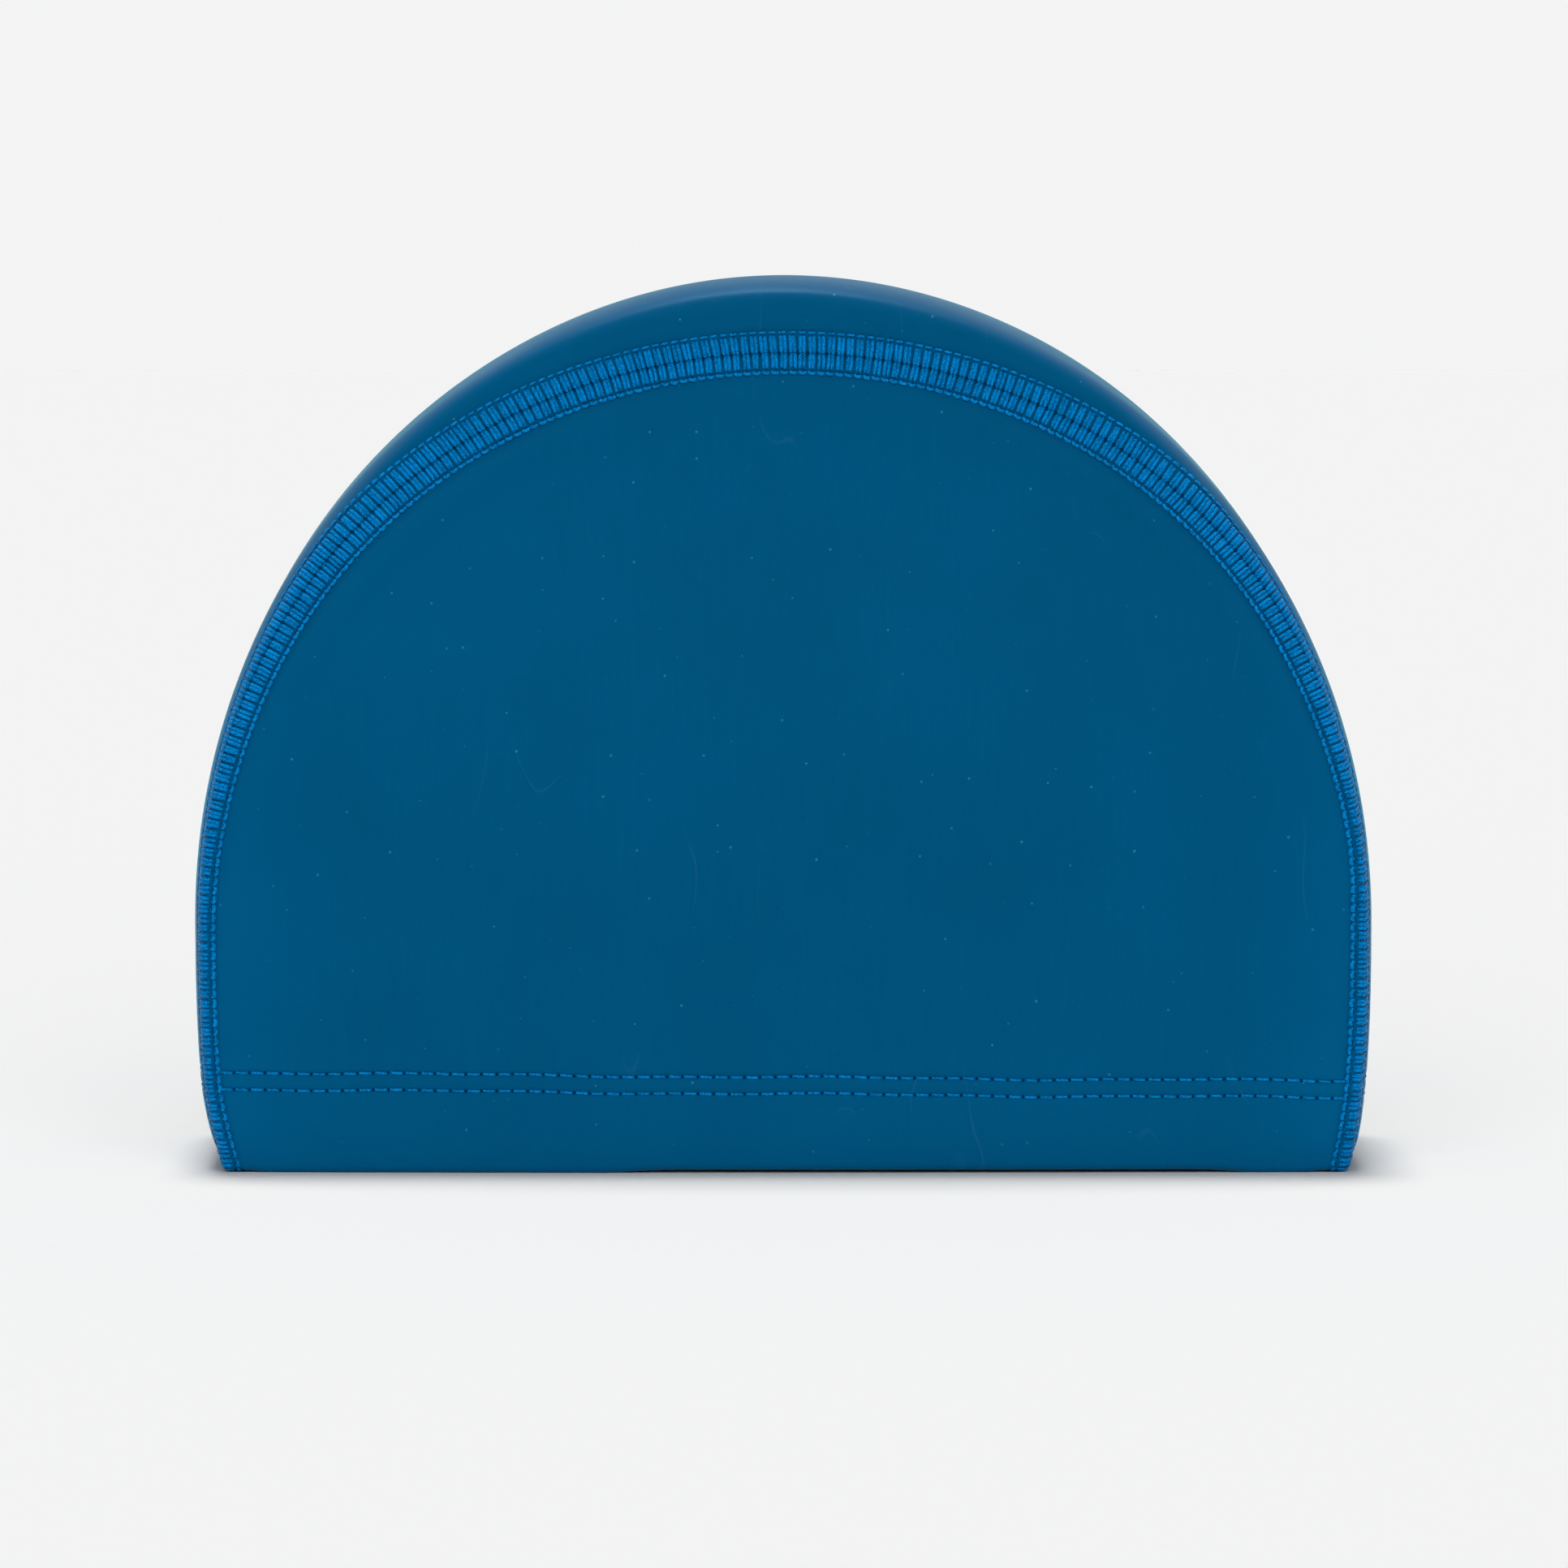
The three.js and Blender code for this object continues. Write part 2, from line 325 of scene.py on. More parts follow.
class HemPath:
    """Rows up the cloth: the turned-up layer, the fold and the outer face up to the crown.

    Each row has the station that it follows, the angle that it has turned through in the fold,
    its depth inside the outer face, its drop in the fold, and the end of the cap that it is at.
    """

    def __init__(self, shell, cloth, hem_step):
        widest = shell.form.widest_level
        radius = cloth.fold_radius
        inside = spread(radius, cloth.hem_height, WALL_STEP)[::-1]
        bend = np.linspace(math.pi, 0, FOLD_ROWS + 2)[1:-1]
        near_hem = spread(radius, cloth.hem_height + 2 * MM, hem_step)
        wall = spread(near_hem[-1], widest, WALL_STEP)[1:]
        arch = np.linspace(1, 2, ARCH_ROWS + 1)[1:]
        level = np.concatenate([inside, 0 * bend + radius, near_hem, wall])
        outer_rows = len(near_hem) + len(wall) + len(arch)
        self.station = np.concatenate([level / widest, arch])
        self.angle = np.concatenate([0 * inside + math.pi, bend, np.zeros(outer_rows)])
        self.depth = radius * (1 - np.cos(self.angle))
        self.drop = radius * np.sin(self.angle)
        self.end = np.ones_like(self.station)

    def over(self):
        """The same rows up one end, over the crown and down the other end"""
        self.end = np.concatenate([-self.end, self.end[:-1]])
        for name in ("station", "angle", "depth", "drop"):
            rows = getattr(self, name)
            setattr(self, name, np.concatenate([rows, rows[-2::-1]]))
        return self

    def laid(self, points, normals):
        """Rows of points on the outer face, moved to where the hem's path has them"""
        level = levelled(normals)
        depth, angle, drop = (
            rows.reshape((-1,) + (1,) * (points.ndim - 1))
            for rows in (self.depth, self.angle, self.drop)
        )
        down = np.array([0, 0, -1.0])
        moved = points - level * depth + down * drop
        turned = level * np.cos(angle) + down * np.sin(angle)
        return moved, np.where(angle > 0, turned, normals)


def hem_lift_at(cloth, x, z):
    """Slack stretches of the hem stand a little clear of the floor"""
    slack = ease((x + 0.036) / 0.016) * (1 - ease((x - 0.078) / 0.014))
    fall = np.clip(1 - z / (2 * cloth.hem_height), 0, 1) ** 2
    return cloth.hem_lift * slack * fall


def sway_at(cloth, points):
    """Broad soft waves of the cloth"""
    flat = points.reshape(-1, 3)
    waves = [noise.noise(Vector(p) / cloth.sway_length + Vector((3.1, 7.7, 1.3))) for p in flat]
    return cloth.sway * np.array(waves).reshape(points.shape[:-1])


def seam_relief(cloth, distance):
    """The cloth puffs beside a seam and is drawn in under it"""
    puff = np.exp(-(((distance - cloth.puff_place) / cloth.puff_width) ** 2))
    crease = np.exp(-((distance / (0.55 * cloth.puff_place)) ** 4))
    return cloth.puff * puff - cloth.crease * crease


def needle_lines(thread, x):
    """Heights of the hem's two needle lines along the cap"""
    wander = 0.00016 * np.sin(x / 0.0115 + 0.6) + 0.0001 * np.sin(x / 0.0043)
    shift = wander - thread.needle_drift * x
    return thread.needle_low + shift, thread.needle_high + shift


def hem_relief(cloth, thread, x, z):
    """Each needle line draws the hem in, and the cloth swells a little below them"""
    low, high = needle_lines(thread, x)
    width = cloth.groove_width
    lines = np.exp(-(((z - low) / width) ** 2)) + np.exp(-(((z - high) / width) ** 2))
    swell = np.exp(-(((z - 0.5 * low) / (0.4 * low)) ** 2))
    return 0.8 * cloth.groove * swell - cloth.groove * lines


def distance_to(points, line):
    """Distance from each point to the nearest point of a line"""
    flat = points.reshape(-1, 3)
    found = np.empty(len(flat))
    for start in range(0, len(flat), 2000):
        piece = flat[start : start + 2000]
        gaps = piece[:, None, :] - line[None, :, :]
        found[start : start + 2000] = np.sqrt((gaps**2).sum(axis=-1)).min(axis=1)
    return found.reshape(points.shape[:-1])


def seam_line(shell, side):
    """Middle of a seam, from one hem over the crown to the other"""
    station = np.linspace(0, 2, 400)
    back, front = (shell.point(station, shell.seam_turn(station, end), end) for end in (-1.0, 1.0))
    return np.concatenate([back, front[::-1]]) * np.array([1, -side, 1])


# Making meshes


def deselect_all():
    if bpy.context.object and bpy.context.object.mode != "OBJECT":
        bpy.ops.object.mode_set(mode="OBJECT")
    bpy.ops.object.select_all(action="DESELECT")


def choose(piece):
    deselect_all()
    piece.select_set(True)
    bpy.context.view_layer.objects.active = piece


def apply_modifiers(piece):
    choose(piece)
    for modifier in list(piece.modifiers):
        bpy.ops.object.modifier_apply(modifier=modifier.name)


def vertex_array(piece):
    places = np.empty(len(piece.data.vertices) * 3)
    piece.data.vertices.foreach_get("co", places)
    return places.reshape(-1, 3)


def set_vertices(piece, places):
    piece.data.vertices.foreach_set("co", np.asarray(places, dtype=float).ravel())
    piece.data.update()


def set_map(piece, flat_places):
    """Gives the UV map each point's flat place"""
    corners = np.empty(len(piece.data.loops), dtype=int)
    piece.data.loops.foreach_get("vertex_index", corners)
    piece.data.uv_layers.active.data.foreach_set("uv", flat_places[corners].ravel())


def grid_places(piece, columns, rows):
    """Column and row of each point of a new grid"""
    flat = vertex_array(piece)
    column = np.rint((flat[:, 0] + 0.5) * columns).astype(int)
    return column, np.rint((flat[:, 1] + 0.5) * rows).astype(int)


def edit(piece, *steps):
    """Edit mode steps on the whole piece"""
    choose(piece)
    bpy.ops.object.mode_set(mode="EDIT")
    bpy.ops.mesh.select_all(action="SELECT")
    for step in steps:
        step()
    bpy.ops.object.mode_set(mode="OBJECT")


def new_grid(name, columns, rows):
    """A flat grid of one unit, for the moves that give a piece its form"""
    deselect_all()
    bpy.ops.mesh.primitive_grid_add(x_subdivisions=columns, y_subdivisions=rows, size=1)
    piece = bpy.context.object
    piece.name = name
    piece.data.name = name
    return piece


def grid_of(name, points, map_places):
    """A sheet through rows of points, with its flat places as the UV map"""
    rows, columns = points.shape[0] - 1, points.shape[1] - 1
    piece = new_grid(name, columns, rows)
    column, row = grid_places(piece, columns, rows)
    set_vertices(piece, points[row, column])
    set_map(piece, map_places[row, column])
    return piece


def merge_doubles(threshold):
    return lambda: bpy.ops.mesh.remove_doubles(threshold=threshold)


def face_outwards(piece, place, direction):
    """Turns the sheet over if its faces look against the direction given for one place"""
    mesh = piece.data
    nearest = min(mesh.polygons, key=lambda f: (f.center - Vector(place)).length)
    if nearest.normal.dot(Vector(direction)) < 0:
        edit(piece, lambda: bpy.ops.mesh.flip_normals())


def thicken(piece, thickness):
    wall = piece.modifiers.new("Wall", "SOLIDIFY")
    wall.thickness = thickness
    wall.offset = -1
    wall.material_offset = 1
    wall.material_offset_rim = 0
    apply_modifiers(piece)


def finish_piece(piece, *materials, slot):
    for material in materials:
        piece.data.materials.append(material)
    choose(piece)
    bpy.ops.object.shade_smooth()
    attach(piece, BODY)


def running_length(points):
    """Length along the rows of a grid of points, from the first row"""
    steps = np.linalg.norm(np.diff(points, axis=0), axis=-1)
    start = np.zeros((1,) + steps.shape[1:])
    return np.concatenate([start, np.cumsum(steps, axis=0)], axis=0)


# Cloth pieces


def relief(shell, cloth, thread, points, normals, sides):
    """The cloth's own form on the smooth shell: puffs, creases, needle lines and soft waves"""
    gaps = [distance_to(points, seam_line(shell, side)) for side in sides]
    distance = np.min(gaps, axis=0)
    x, z = points[..., 0], points[..., 2]
    rise = seam_relief(cloth, distance) + hem_relief(cloth, thread, x, z)
    rise = rise + sway_at(cloth, points)
    clear = ease((z - cloth.fold_radius) / (4 * cloth.fold_radius))
    return points + normals * (rise * clear)[..., None], distance


def stand_clear(cloth, thread, points, level, distance):
    """Lifts the slack stretches of the hem, and the hem at the seams by their threads"""
    x = points[..., 0]
    fall = np.clip(1 - level / cloth.hem_height, 0, 1) ** 2
    bundle = np.exp(-((distance / thread.seam_width) ** 4)) * thread.floor_gap
    foot = np.clip(1 - level / cloth.tuck_height, 0, 1) ** 1.3 * ease((np.abs(x) - 0.07) / 0.04)
    lifted = points.copy()
    lifted[..., 0] += np.where(x < 0, cloth.back_tuck, -cloth.front_tuck) * foot
    lifted[..., 2] += hem_lift_at(cloth, x, level) + bundle * fall
    return lifted


def cloth_sheet(name, shell, cloth, thread, path, points, normals, sides, middle_column):
    """A panel through rows of places on the shell, with its hem folded up inside"""
    formed, distance = relief(shell, cloth, thread, points, normals, sides)
    laid, _ = path.laid(formed, normals)
    laid = stand_clear(cloth, thread, laid, points[..., 2], distance)
    up = running_length(laid[:, middle_column : middle_column + 1])
    across = running_length(points.transpose(1, 0, 2)).T
    across = across - across[:, middle_column : middle_column + 1]
    piece = grid_of(name, laid, np.stack([across, up + 0 * across], axis=-1))
    return piece


def side_panel(side, shell, cloth, thread):
    """A D shaped panel: level rows from seam to seam, closing to a point at the crown"""
    path = HemPath(shell, cloth, HEM_STEP)
    back, front = (
        shell.point(path.station, shell.turn_across(path.station, -cloth.seam_gap / 2, end), end)
        for end in (-1.0, 1.0)
    )
    share = (1 + np.sin(np.linspace(-1, 1, PANEL_COLUMNS + 1) * QUARTER)) / 2
    x = back[:, :1] + (front - back)[:, :1] * share
    z = back[:, 2:] + (front - back)[:, 2:] * share
    mirror = np.array([1.0, -side, 1.0])
    points = shell.panel_point(x, z) * mirror
    normals = shell.panel_normal(x, z) * mirror
    name = "side_panel_near" if side == NEAR else "side_panel_far"
    middle = PANEL_COLUMNS // 2
    piece = cloth_sheet(
        name + "_cloth", shell, cloth, thread, path, points, normals, [side], middle
    )
    edit(piece, merge_doubles(SAME_PLACE))
    fullest = (0, side * shell.form.belly_width / 2, shell.form.belly_level)
    face_outwards(piece, fullest, (0, side, 0))
    thicken(piece, cloth.thickness)
    finish_piece(piece, coated_knit(cloth, thread), knit_inside(cloth), slot="coated_knit")
    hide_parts(name)
    return piece


def centre_panel(shell, cloth, thread):
    """The long panel from the front hem over the crown to the back hem"""
    path = HemPath(shell, cloth, HEM_STEP).over()
    station, end = path.station[:, None], path.end[:, None]
    first = shell.turn_across(station, cloth.seam_gap / 2, end)
    turn = shell.turns_between(station, first, CENTRE_COLUMNS)
    station = station + 0 * turn
    end = end + 0 * turn
    points = shell.point(station, turn, end)
    normals = shell.normal(station, turn, end)
    piece = cloth_sheet(
        "centre_panel_cloth", shell, cloth, thread, path, points, normals, [NEAR, FAR],
        CENTRE_COLUMNS // 2,
    )
    face_outwards(piece, (0, 0, shell.form.height), (0, 0, 1))
    thicken(piece, cloth.thickness)
    finish_piece(piece, coated_knit(cloth, thread), knit_inside(cloth), slot="coated_knit")
    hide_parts("centre_panel")
    return piece


# Threads


class Bed:
    """What threads are laid on: places and outward directions along and across a row of them"""

    def __init__(self, points, outward, across, floor_squeeze=0.0):
        middle = len(across) // 2
        along = points[1:, middle] - points[:-1, middle]
        sideways = points[:-1, middle + 1] - points[:-1, middle]
        turned = (np.cross(along, sideways) * outward[:-1, middle]).sum()
        if turned < 0:
            points, outward = points[::-1], outward[::-1]
        self.points, self.outward, self.across = points, outward, across
        self.along = running_length(points[:, middle])
        self.length = self.along[-1]
        self.floor_squeeze = floor_squeeze

    def lay(self, piece):
        """Moves a flat row of threads onto the bed: X along it, Y across it, Z out from it.
        They lie flatter round the shoulder and at the floor."""
        u, v, w = vertex_array(piece).T
        row = np.interp(u, self.along, np.arange(len(self.along)))
        column = np.interp(v, self.across, np.arange(len(self.across)))
        row_low = np.clip(row.astype(int), 0, len(self.along) - 2)
        column_low = np.clip(column.astype(int), 0, len(self.across) - 2)
        row_share = (row - row_low)[:, None]
        column_share = (column - column_low)[:, None]

        def between(table):
            near = table[row_low, column_low] * (1 - column_share)
            near = near + table[row_low, column_low + 1] * column_share
            far = table[row_low + 1, column_low] * (1 - column_share)
            far = far + table[row_low + 1, column_low + 1] * column_share
            return near * (1 - row_share) + far * row_share

        base = between(self.points)
        outward = unit(between(self.outward))
        squeeze = 1 - self.floor_squeeze * np.exp(-((base[:, 2] / (1.6 * MM)) ** 2))
        squeeze = squeeze * (0.4 + 0.6 * ease(np.abs(outward[:, 1]) / 0.7))
        set_vertices(piece, base + outward * (w * squeeze)[:, None])


def seam_places(side, shell, cloth, thread, station, end):
    """Places of a seam's bed on the smooth shell, their normals, the cloth's own form there, and
    the distance from the seam's middle"""
    across = np.linspace(-BED_REACH, BED_REACH, BED_COLUMNS) * thread.seam_width
    station, end = station[:, None], end[:, None]
    turn = shell.turn_across(station, across[None, :], end)
    mirror = np.array([1.0, -side, 1.0])
    points = shell.point(station + 0 * turn, turn, end + 0 * turn) * mirror
    normals = shell.normal(station + 0 * turn, turn, end + 0 * turn) * mirror
    formed, distance = relief(shell, cloth, thread, points, normals, [side])
    return across, points, normals, formed, distance


def seam_bed(side, shell, cloth, thread):
    """Along a seam on the outer face, round the fold at both ends and up the turned-up hem"""
    path = HemPath(shell, cloth, WALL_STEP).over()
    across, points, normals, formed, distance = seam_places(
        side, shell, cloth, thread, path.station, path.end
    )
    laid, outward = path.laid(formed, normals)
    laid = stand_clear(cloth, thread, laid, points[..., 2], distance)
    return Bed(laid, outward, across, floor_squeeze=0.35)


def inner_seam_bed(side, shell, cloth, thread):
    """Along a seam on the inner face, between the raw edges of the turned-up hem"""
    start = (cloth.hem_height + MM) / shell.form.widest_level
    rising = np.concatenate([np.linspace(start, 1, 12)[:-1], np.linspace(1, 2, ARCH_ROWS + 1)])
    station = np.concatenate([rising, rising[-2::-1]])
    end = np.concatenate([-np.ones(len(rising)), np.ones(len(rising) - 1)])
    across, _, normals, formed, _ = seam_places(side, shell, cloth, thread, station, end)
    return Bed(formed - normals * cloth.thickness, -normals, across)


def hem_bed(panel, shell, cloth, thread, inside=False):
    """Along the middle of a panel's two needle lines"""
    gauge = (thread.needle_high - thread.needle_low) / 2
    across = np.linspace(-HEM_BED_REACH, HEM_BED_REACH, HEM_BED_COLUMNS) * gauge
    if panel in (NEAR, FAR):
        level = (thread.needle_low + gauge) / shell.form.widest_level
        inset = -thread.seam_width / 2
        reach = shell.point(level, shell.turn_across(np.array([level]), inset), 1.0)[0, 0]
        x = reach * np.sin(np.linspace(-1, 1, 241) * QUARTER)[:, None]
        low, high = needle_lines(thread, x)
        z = (low + high) / 2 + across[None, :]
        mirror = np.array([1.0, -panel, 1.0])
        points = shell.panel_point(x + 0 * z, z) * mirror
        normals = shell.panel_normal(x + 0 * z, z) * mirror
        sides = [panel]
    else:
        end = 1.0 if panel == "front" else -1.0
        low, high = needle_lines(thread, end * shell.half_length)
        z = (low + high) / 2 + across[None, :]
        station = z / shell.form.widest_level
        middle = station[:, HEM_BED_COLUMNS // 2]
        first = shell.turn_across(middle, np.array([thread.seam_width / 2]))
        turn = np.linspace(first, math.pi - first, 61) + 0 * station
        station = station + 0 * turn
        points = shell.point(station, turn, end + 0 * turn)
        normals = shell.normal(station, turn, end + 0 * turn)
        sides = [NEAR, FAR]
    formed, _ = relief(shell, cloth, thread, points, normals, sides)
    if inside:
        level = levelled(normals)
        return Bed(formed - level * 2 * cloth.fold_radius, -level, across)
    return Bed(formed, normals, across)


def rolled_thread(name, path, half_width, half_height, sides):
    """A thread along a path of (along, across, out) places: a grid rolled into a tube whose
    closed ends sink into the cloth"""
    rings = len(path) - 1
    piece = new_grid(name, sides, rings)
    column, ring = grid_places(piece, sides, rings)
    path = np.asarray(path, dtype=float)
    forward = unit(np.gradient(path, axis=0))
    out = np.array([0, 0, 1.0])
    sideways = unit(np.cross(forward, out))
    upward = np.cross(sideways, forward)
    share = np.linspace(-1, 1, rings + 1)
    swell = np.sqrt(np.clip(1 - np.abs(share) ** 6, 0, None))
    angle = -2 * math.pi * column / sides
    half = swell[ring][:, None]
    offset = sideways[ring] * (np.cos(angle)[:, None] * half * half_width)
    offset = offset + upward[ring] * (np.sin(angle)[:, None] * half * half_height)
    set_vertices(piece, path[ring] + offset)
    length = running_length(path)
    set_map(piece, np.stack([column / sides, length[ring] / MM], axis=-1))
    edit(piece, merge_doubles(SAME_PLACE))
    return piece


def bowed(start, end, low, high, rings, flatness=0.45):
    """A path from one place to another that rises out of the cloth and sinks back in"""
    share = np.linspace(0, 1, rings + 1)[:, None]
    flat = np.asarray(start) * (1 - share) + np.asarray(end) * share
    out = low + (high - low) * np.sin(math.pi * share) ** flatness
    return np.concatenate([flat, out], axis=1)


def mark_thread(piece, name, value):
    """Gives a thread a number: its place within the stitch, or how deep in shade it lies"""
    marks = piece.data.attributes.new(name, "FLOAT", "POINT")
    marks.data.foreach_set("value", np.full(len(piece.data.vertices), float(value)))


def one_stitch(name, threads, painted_shade_depths):
    """Joins the threads of one stitch"""
    for number, (piece, depth) in enumerate(zip(threads, painted_shade_depths)):
        mark_thread(piece, "thread", number)
        mark_thread(piece, "depth", depth)
    deselect_all()
    for piece in threads:
        piece.select_set(True)
    bpy.context.view_layer.objects.active = threads[0]
    bpy.ops.object.join()
    threads[0].name = name
    threads[0].data.name = name
    return threads[0]


def repeat_stitch(piece, pitch, count):
    row = piece.modifiers.new("Row", "ARRAY")
    row.count = count
    row.use_relative_offset = False
    row.use_constant_offset = True
    row.constant_offset_displace = (pitch, 0, 0)
    apply_modifiers(piece)


def vary_stitches(piece, count, seed, loose, shift, tilt, height):
    """Small differences between stitches. Threads whose number is below loose move freely, and
    the others, which run on from stitch to stitch, keep their ends together."""
    chance = np.random.default_rng(seed)
    places = vertex_array(piece).reshape(count, -1, 3)
    marks = np.empty(len(piece.data.vertices))
    piece.data.attributes["thread"].data.foreach_get("value", marks)
    marks = marks.astype(int)
    threads = marks.max() + 1
    marks = marks.reshape(count, -1)
    stitch = np.arange(count)[:, None] + 0 * marks
    free = (marks < loose).astype(float)

    def drawn():
        return chance.uniform(-1, 1, (count, threads))[stitch, marks]

    places[..., 0] += free * (shift * drawn() + tilt * drawn() * places[..., 1])
    places[..., 2] *= 1 + height * drawn() * (places[..., 2] > 0)
    shade = piece.data.attributes.new("shade", "FLOAT", "POINT")
    shade.data.foreach_set("value", drawn().ravel())
    set_vertices(piece, places.reshape(-1, 3))


# A stitch of the flat seam. Threads lie between two places: along as a share of the pitch,
# across as a share of the half width, positive towards the centre panel.
SEAM_STITCH = [
    # name, start along, start across, end along, end across, half width, half height, high
    ("upper_left", 0.11, 0.94, 0.27, -0.13, 0.395, 0.27, 0.30),
    ("upper_right", 0.50, 0.94, 0.67, -0.13, 0.395, 0.27, 0.28),
    ("lower_left", 0.26, 0.00, 0.29, -0.90, 0.395, 0.27, 0.31),
    ("lower_right", 0.66, 0.00, 0.69, -0.90, 0.395, 0.27, 0.29),
    ("top_loop", -0.13, 0.98, 0.76, 1.00, 0.24, 0.22, 0.38),
]


def seam_stitch(name, thread):
    """One stitch of the flat seam, laid out flat"""
    half = thread.seam_width / 2
    pitch = thread.seam_pitch
    low = -0.12 * MM
    threads = []
    for label, x1, y1, x2, y2, width, tall, high in SEAM_STITCH:
        start, end = (x1 * pitch, y1 * half), (x2 * pitch, y2 * half)
        path = bowed(start, end, low, high * MM, 6)
        threads.append(rolled_thread(label, path, width * MM, tall * MM, 6))
    needle = bowed((0, -0.07 * half), (pitch, -0.07 * half), 0.06 * MM, 0.20 * MM, 4)
    threads.append(rolled_thread("needle", needle, 0.15 * MM, 0.12 * MM, 5))
    # Painted shade: a dark blob of thread sits at the needle hole, for the shade inside it.
    start, end = (-0.03 * pitch, 0.05 * half), (-0.01 * pitch, -0.19 * half)
    hole_shade = bowed(start, end, 0.1 * MM, 0.24 * MM, 3)
    threads.append(rolled_thread("hole_shade", hole_shade, 0.18 * MM, 0.12 * MM, 5))
    start, end = (-0.1 * pitch, -0.9 * half), (1.1 * pitch, -0.9 * half)
    rail = bowed(start, end, 0.1 * MM, 0.16 * MM, 3)
    threads.append(rolled_thread("rail", rail, 0.08 * MM, 0.1 * MM, 5))
    chain = bowed((0.0, -0.93 * half), (1.03 * pitch, -0.97 * half), 0.1 * MM, 0.36 * MM, 7)
    chain[:, 1] -= 0.1 * half * np.sin(math.pi * np.linspace(0, 1, len(chain)))
    threads.append(rolled_thread("chain", chain, 0.35 * MM, 0.25 * MM, 6))
    # Painted shade: these depth marks darken the needle thread, the hole blob and the rail, for the
    # shade between the rows and above the chain.
    return one_stitch(name, threads, [0, 0, 0, 0, 0, 0.3, 0.9, 0.5, 0])


def seam_threads(side, shell, cloth, thread):
    """The seam's threads outside, round the hem's fold and up inside the turned-up hem, and
    those on the inner face between the hem's raw edges"""
    name = "seam_near" if side == NEAR else "seam_far"
    layers = ((seam_bed, name + "_threads", 11), (inner_seam_bed, name + "_inner_threads", 21))
    for make_bed, label, seed in layers:
        bed = make_bed(side, shell, cloth, thread)
        count = int(bed.length / thread.seam_pitch)
        piece = seam_stitch(label, thread)
        repeat_stitch(piece, bed.length / count, count)
        vary_stitches(
            piece, count, seed + side, loose=len(SEAM_STITCH) - 1,
            shift=0.05 * MM, tilt=0.045, height=0.12,
        )
        bed.lay(piece)
        finish_piece(piece, seam_thread(thread), slot="seam_thread")
        if make_bed is seam_bed:
            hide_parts(name)


def hem_stitch(name, thread):
    """One stitch of both needle lines, laid out flat"""
    gauge = (thread.needle_high - thread.needle_low) / 2
    pitch = thread.hem_pitch
    threads = []
    for label, line, drop in (("low", -gauge, 0.05), ("high", gauge, 0.07)):
        start = (0.04 * pitch, line + drop * MM)
        end = (0.98 * pitch, line - drop * MM)
        path = bowed(start, end, -0.12 * MM, 0.2 * MM, 8, 0.35)
        threads.append(rolled_thread(label, path, 0.27 * MM, 0.22 * MM, 8))
    # Painted shade: a dark blob of thread sits at each needle hole, fully darkened by its depth
    # mark, for the shade inside the hole.
    for label, line in (("low_hole_shade", -gauge), ("high_hole_shade", gauge)):
        hole_shade = bowed(
            (-0.01 * pitch, line - 0.38 * MM), (0.03 * pitch, line + 0.4 * MM),
            0.1 * MM, 0.34 * MM, 3,
        )
        threads.append(rolled_thread(label, hole_shade, 0.2 * MM, 0.12 * MM, 6))
    return one_stitch(name, threads, [0, 0, 1, 1])


def cover_stitch(name, thread):
    """One stitch of the threads that cross between the needle lines inside the hem"""
    gauge = (thread.needle_high - thread.needle_low) / 2
    pitch = thread.hem_pitch
    threads = []
    for label, x1, x2 in (("rising", 0.0, 0.5), ("falling", 1.0, 0.5)):
        path = bowed((x1 * pitch, -gauge), (x2 * pitch, gauge), 0.02 * MM, 0.22 * MM, 6)
        threads.append(rolled_thread(label, path, 0.17 * MM, 0.15 * MM, 6))
    for label, line in (("low", -gauge), ("high", gauge)):
        path = bowed((0, line), (pitch, line), 0.02 * MM, 0.2 * MM, 6)
        threads.append(rolled_thread(label, path, 0.2 * MM, 0.17 * MM, 6))
    return one_stitch(name, threads, [0, 0, 0, 0])


def hem_threads(panel, label, shell, cloth, thread):
    """A panel's two needle lines outside, and the threads that cross between them inside"""
    for inside, maker in ((False, hem_stitch), (True, cover_stitch)):
        bed = hem_bed(panel, shell, cloth, thread, inside)
        count = int(bed.length / thread.hem_pitch)
        pitch = bed.length / count
        kind = "cover" if inside else "needle"
        piece = maker(f"hem_{kind}_threads_{label}", thread)
        repeat_stitch(piece, pitch, count)
        seed = 40 + len(label) + 7 * inside
        vary_stitches(piece, count, seed, loose=2, shift=0.03 * MM, tilt=0.0, height=0.1)
        bed.lay(piece)
        finish_piece(piece, seam_thread(thread), slot="seam_thread")


# Materials


class Value:
    """A socket that takes part in sums"""

    def __init__(self, finish, socket):
        self.finish = finish
        self.socket = socket

    def sum(self, operation, first, second=None):
        inputs = {0: first} if second is None else {0: first, 1: second}
        return self.finish.node("ShaderNodeMath", {"operation": operation}, inputs)

    def __add__(self, other):
        return self.sum("ADD", self, other)

    __radd__ = __add__

    def __sub__(self, other):
        return self.sum("SUBTRACT", self, other)

    def __rsub__(self, other):
        return self.sum("SUBTRACT", other, self)

    def __mul__(self, other):
        return self.sum("MULTIPLY", self, other)

    __rmul__ = __mul__

    def sine(self):
        return self.sum("SINE", self)

    def size(self):
        return self.sum("ABSOLUTE", self)

    def between(self, low, high):
        """0 up to low, 1 from high on, and smooth between them"""
        settings = {"interpolation_type": "SMOOTHSTEP"}
        return self.finish.node(
            "ShaderNodeMapRange", settings, {"Value": self, "From Min": low, "From Max": high}
        )


